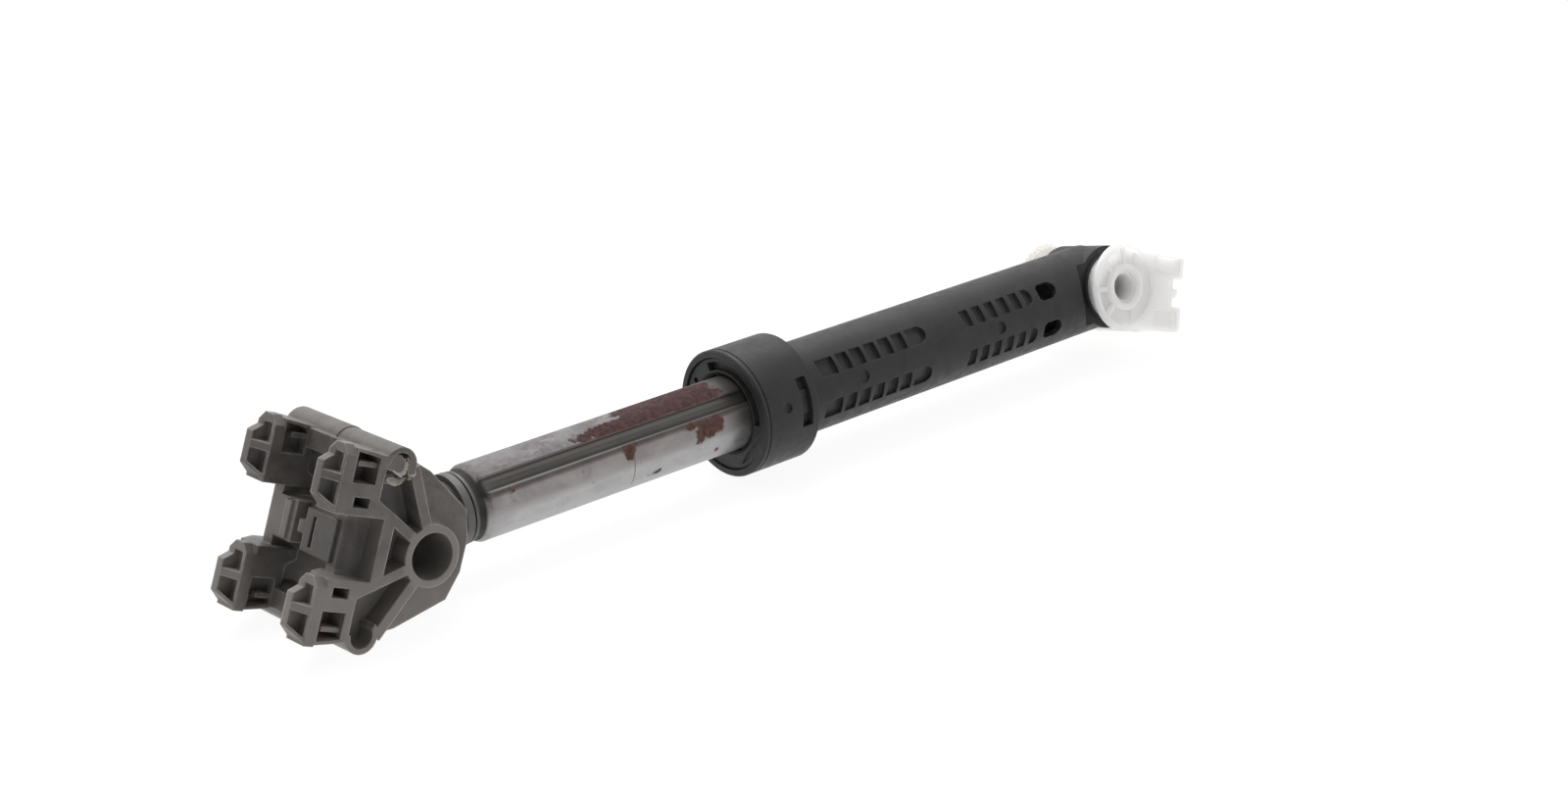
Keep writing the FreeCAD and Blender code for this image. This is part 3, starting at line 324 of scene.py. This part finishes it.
# Lower clip bracket
# Two grey moulded halves that mate along the middle, with four snap feet for the machine's floor.
# The rim of the bore has bleached and the near upper bar is torn into flakes. The lower feet are
# painted lighter, as painted light from below.


def measured(tree, place, way):
    """Millimetres along one way."""
    return node(tree, "VectorMath", {0: place, 1: way * millimetres},
                operation="DOT_PRODUCT").outputs["Value"]


def see_through(shader, weight, radius):
    """Let light spread a little way inside the plastic."""
    shader.inputs["Subsurface Weight"].default_value = weight
    shader.inputs["Subsurface Radius"].default_value = radius
    shader.inputs["Subsurface Scale"].default_value = 1.0


# The bracket is tipped up on its pivot by a turn in radians. Its feet point forward.
bracket_turn = 0.39445
forward_way = Vector((-math.cos(bracket_turn), 0.0, math.sin(bracket_turn)))
upward_way = Vector((math.sin(bracket_turn), 0.0, math.cos(bracket_turn)))
grey_plastic, tree, shader, base = moulded_plastic(
    "grey_plastic", colour=(0.124, 0.112, 0.104, 1), shade=(0.092, 0.083, 0.077, 1),
    roughness=0.46, grain=0.25, round_edge=0.0007, edge_wear_and_highlight=(0.31, 0.288, 0.272, 1))
place = node(tree, "TexCoord").outputs["Object"]
smear = ramp(tree, noise(tree, place, 130.0, 7.0, 0.68, 0.8), 0.44, 0.66, 0.0, 0.55)
base = blend(tree, smear, base, (0.060, 0.052, 0.047, 1))
base = recess_tint(tree, base, depth=0.006, strength=0.75, recess_colour=(0.24, 0.232, 0.225, 1))
flat_place = stretched(tree, place, (millimetres, 0.0, millimetres))
from_bore = node(tree, "VectorMath", {0: flat_place}, operation="LENGTH").outputs["Value"]
forward = measured(tree, place, forward_way)
upward = measured(tree, place, upward_way)
near_side = ramp(tree, node(tree, "SeparateXYZ", {"Vector": place}).outputs["Y"], 0.004, -0.001)
# Painted light from below: the lower part of the near side and of the feet is painted lighter.
painted_light_from_below = times(tree, ramp(tree, upward, 2.0, -13.0, 0.0, 0.5),
                 most(tree, near_side, ramp(tree, forward, 29.0, 34.0)))
block_height = times(tree, ramp(tree, upward, -7.5, -6.2), ramp(tree, upward, 7.0, 5.6))
block_front = times(tree, ramp(tree, forward, 20.5, 23.5), block_height)
block_tone = blend(tree, near_side, (0.20, 0.186, 0.170, 1), (0.046, 0.040, 0.035, 1))
base = coated(
    tree, base,
    (ramp(tree, from_bore, 10.2, 8.2, 0.0, 0.6), (0.23, 0.214, 0.197, 1)),
    (painted_light_from_below, (0.235, 0.218, 0.200, 1)),
    (times(tree, block_front, 0.75), block_tone))
see_through(shader, weight=0.35, radius=(0.003, 0.0025, 0.0022))
tree.links.new(base, shader.inputs["Base Color"])
for half in ("lower_bracket_near", "lower_bracket_far"):
    dress(half, grey_plastic)

# Each flake has its outline forward and up from the pivot in millimetres, the way to its free side,
# how far that curls out, and how bare of skin it is.
bracket_face = -23.4
flake_thick = 0.35
flake_root = 0.3
torn_flakes = [
    ([(21.0, 22.7), (18.6, 24.5), (16.2, 24.7), (14.6, 23.5), (14.5, 20.9), (16.2, 19.7), (18.5, 20.7),
      (20.5, 21.3)], (-0.55, -0.83), 0.7, 0.2),
    ([(14.7, 24.8), (13.4, 24.2), (11.7, 22.0), (11.4, 20.5), (13.4, 20.2), (14.2, 22.4)],
     (-0.3, -0.95), 0.5, 0.7),
    ([(20.0, 18.6), (18.9, 17.5), (16.5, 17.2), (14.7, 18.4), (14.1, 19.7), (16.1, 18.9), (18.4, 19.3)],
     (0.0, -1.0), 0.5, 0.4)]


def smooth_outline(corners, steps):
    """A closed curve through the corners, with several points from each to the next."""
    count = len(corners)
    curve = []
    for index in range(count):
        before, start, end, after = (corners[(index + shift) % count] for shift in (-1, 0, 1, 2))
        for step in range(steps):
            share = step / steps
            curve.append(0.5 * (2 * start + share * (end - before)
                                + share ** 2 * (2 * before - 5 * start + 4 * end - after)
                                + share ** 3 * (3 * start - before - 3 * end + after)))
    return curve


def flake_mesh(outline, free_side, curl, bareness):
    """A thin flake: a smooth outline made ragged, curling outwards on its free side."""
    coarse, fine = 1.9, 5.3
    rings = (1.0, 0.93, 0.82, 0.66, 0.45, 0.2)
    corners = [Vector(corner) for corner in outline]
    middle = sum(corners, Vector((0, 0))) / len(corners)
    border = smooth_outline(corners, 9)
    points = []
    lips = []
    for side in (0.0, flake_thick):
        for ring in rings:
            for point in border:
                wobble = hills.noise(Vector((point.x * coarse, point.y * coarse, 3.0)))
                wobble += 0.6 * hills.noise(Vector((point.x * fine, point.y * fine, 8.0)))
                free = 0.5 + 0.5 * (point - middle).normalized().dot(Vector(free_side))
                across = middle + (point - middle) * (ring * (1.0 + 0.13 * wobble * ring))
                lift = curl * free * ring ** 3 * (1.0 + 0.9 * wobble) - flake_root
                lips.append(free * (bareness + (1.0 - bareness) * ring ** 2) * (1.0 + 0.5 * wobble))
                depth = bracket_face - lift + side * (1.0 - 0.55 * ring)
                spot = forward_way * across.x + upward_way * across.y
                points.append((spot.x / millimetres, depth / millimetres, spot.z / millimetres))
    count = len(border)
    layer = count * len(rings)
    faces = []
    for side in (0, 1):
        for ring in range(len(rings) - 1):
            for index in range(count):
                first = side * layer + ring * count + index
                second = side * layer + ring * count + (index + 1) % count
                quad = (first, second, second + count, first + count)
                faces.append(quad if side else quad[::-1])
        cap = [side * layer + (len(rings) - 1) * count + index for index in range(count)]
        faces.append(tuple(cap) if side else tuple(reversed(cap)))
    for index in range(count):
        after = (index + 1) % count
        faces.append((index, after, layer + after, layer + index))
    mesh = bpy.data.meshes.new("torn_flake")
    mesh.from_pydata(points, [], faces)
    lip = mesh.attributes.new("lip", "FLOAT", "POINT")
    lip.data.foreach_set("value", lips)
    return mesh


def put_in_scene(name, data):
    """An object of its own for a mesh, a lamp or a camera."""
    made = bpy.data.objects.new(name, data)
    bpy.context.scene.collection.objects.link(made)
    return made


torn_plastic, tree, shader, base = moulded_plastic(
    "torn_plastic", colour=(0.225, 0.206, 0.187, 1), shade=(0.16, 0.146, 0.132, 1),
    roughness=0.6, grain=0.5, round_edge=0.00015)
place = node(tree, "TexCoord").outputs["Object"]
lip = node(tree, "Attribute", attribute_name="lip").outputs["Fac"]
frayed = maths(tree, "MULTIPLY_ADD", noise(tree, place, 900.0), 0.4, lip)
base = blend(tree, ramp(tree, frayed, 0.35, 1.15), base, (0.43, 0.39, 0.333, 1))
tree.links.new(base, shader.inputs["Base Color"])
for number, (outline, free_side, curl, bareness) in enumerate(torn_flakes, 1):
    mesh = flake_mesh(outline, free_side, curl, bareness)
    mesh.materials.append(torn_plastic)
    mesh.shade_smooth()
    flake = put_in_scene("torn_flake_%d" % number, mesh)
    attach(flake, "lower_bracket")


# Housing, retaining ring and what they hold
# Black glass-filled plastic: a long tube with ladder pockets, a collar and the upper eye.
# The ring clipped in the collar keeps a greased foam lining against the tube.
black_plastic, tree, shader, base = moulded_plastic(
    "black_plastic", colour=(0.024, 0.024, 0.0243, 1), shade=(0.016, 0.016, 0.0163, 1),
    roughness=0.46, grain=0.3, round_edge=0.0004, edge_wear_and_highlight=(0.055, 0.055, 0.056, 1))
base = recess_tint(tree, base, depth=0.004, strength=0.8, recess_colour=(0.058, 0.058, 0.057, 1))
tree.links.new(base, shader.inputs["Base Color"])
shader.inputs["Specular IOR Level"].default_value = 0.30
for piece in ("housing", "retaining_ring", "lining_backing_ring", "tube_guide_ring"):
    dress(piece, black_plastic)

foam, tree, shader, base = moulded_plastic(
    "greased_foam", colour=(0.20, 0.17, 0.09, 1), shade=(0.12, 0.10, 0.05, 1),
    roughness=0.6, grain=0.8, round_edge=0.0002)
tree.links.new(base, shader.inputs["Base Color"])
dress("friction_lining", foam)
dress("end_stop", rubber)


# Upper clip bracket
# Two halves of natural white plastic, slightly see-through, that grip the eye of the housing.
# Dust has settled in the ring recess round the bore. The far half has yellowed, and is darker as
# painted shade.
for half, colour, shade in (
        ("upper_bracket_near", (0.920, 0.907, 0.888, 1), (0.890, 0.875, 0.855, 1)),
        # The far half is yellowed, and darker as painted shade.
        ("upper_bracket_far", (0.79, 0.745, 0.69, 1), (0.72, 0.675, 0.62, 1))):
    white_plastic, tree, shader, base = moulded_plastic(
        half + "_plastic", colour, shade, roughness=0.45, grain=0.2, round_edge=0.0008)
    base = recess_tint(tree, base, depth=0.002, strength=0.05, recess_colour=(0.62, 0.60, 0.58, 1))
    tree.links.new(base, shader.inputs["Base Color"])
    see_through(shader, weight=0.95, radius=(0.014, 0.0137, 0.0132))
    dress(half, white_plastic)


# Floor, light and camera
# A lit white sheet under both brackets, a broad soft lamp overhead and a white room.
# A dark screen behind the camera keeps the near sides of the part in shade.
floor_slope = -0.0107
floor_height = -0.01988
half_floor = 4.0
floor_mesh = bpy.data.meshes.new("floor")
floor_mesh.from_pydata(
    [(x, y, floor_height + floor_slope * x) for x, y in (
        (-half_floor, -half_floor), (half_floor, -half_floor),
        (half_floor, half_floor), (-half_floor, half_floor))], [], [(0, 1, 2, 3)])
floor = put_in_scene("floor", floor_mesh)

glow_share = 0.88
white_sheet = bpy.data.materials.new("white_sheet")
white_sheet.use_nodes = True
tree = white_sheet.node_tree
tree.nodes.clear()
matt = node(tree, "BsdfDiffuse", {"Color": (0.85, 0.85, 0.85, 1)})
glow = node(tree, "Emission", {"Color": (1, 1, 1, 1), "Strength": 1.06})
sheet = node(tree, "MixShader", {0: glow_share, 1: matt.outputs[0], 2: glow.outputs[0]})
node(tree, "OutputMaterial", {"Surface": sheet.outputs[0]})
floor_mesh.materials.append(white_sheet)

# The room looks pure white, and lights the part a little less than it looks.
world = bpy.data.worlds.new("white_room")
bpy.context.scene.world = world
world.use_nodes = True
tree = world.node_tree
tree.nodes.clear()
backdrop = node(tree, "Background", {"Color": (1, 1, 1, 1), "Strength": 1.0})
fill = node(tree, "Background", {"Color": (1, 1, 1, 1), "Strength": 0.74})
path = node(tree, "LightPath").outputs
seen = maths(tree, "ADD", path["Is Camera Ray"], path["Is Glossy Ray"], clamp=True)
seen = maths(tree, "ADD", seen, path["Is Transmission Ray"], clamp=True)
room = node(tree, "MixShader", {0: seen, 1: fill.outputs[0], 2: backdrop.outputs[0]})
node(tree, "OutputWorld", {"Surface": room.outputs[0]})

part_middle = Vector((0.13, 0.0, 0.0))
lamp = bpy.data.lights.new("overhead", "AREA")
lamp.shape = "RECTANGLE"
lamp.size = 0.9
lamp.size_y = 0.7
lamp.energy = 11.0
overhead = put_in_scene("overhead", lamp)
overhead.location = part_middle + Vector((0.10, 0.35, 0.95))
overhead.rotation_euler = (part_middle - overhead.location).to_track_quat("-Z", "Y").to_euler()

camera_place = Vector((-0.3698, -0.5969, 0.2771))
looking = Vector((0.6141, 0.7154, -0.3333)).normalized()
upright = Vector((0.2620, 0.2136, 0.9411))
sideways = looking.cross(upright).normalized()
upright = sideways.cross(looking)
lens = bpy.data.cameras.new("camera")
lens.sensor_width = 36.0
lens.lens = 64.985
lens.clip_start = 0.01
camera = put_in_scene("camera", lens)
camera.matrix_world = Matrix.Translation(camera_place) @ Matrix(
    (sideways, upright, -looking)).transposed().to_4x4()
bpy.context.scene.camera = camera
bpy.context.scene.view_settings.view_transform = "Standard"

screen_place = camera_place - looking * 1.4
half_screen = 2.2
screen_low = -0.6
screen_high = 1.6
screen_mesh = bpy.data.meshes.new("dark_screen")
screen_mesh.from_pydata(
    [screen_place + sideways * across + Vector((0, 0, up)) for across, up in (
        (-half_screen, screen_low), (half_screen, screen_low),
        (half_screen, screen_high), (-half_screen, screen_high))], [], [(0, 1, 2, 3)])
screen = put_in_scene("dark_screen", screen_mesh)
screen.visible_camera = False
cloth, tree, shader = new_material("dark_cloth")
shader.inputs["Base Color"].default_value = (0.03, 0.03, 0.03, 1)
shader.inputs["Roughness"].default_value = 0.9
screen_mesh.materials.append(cloth)
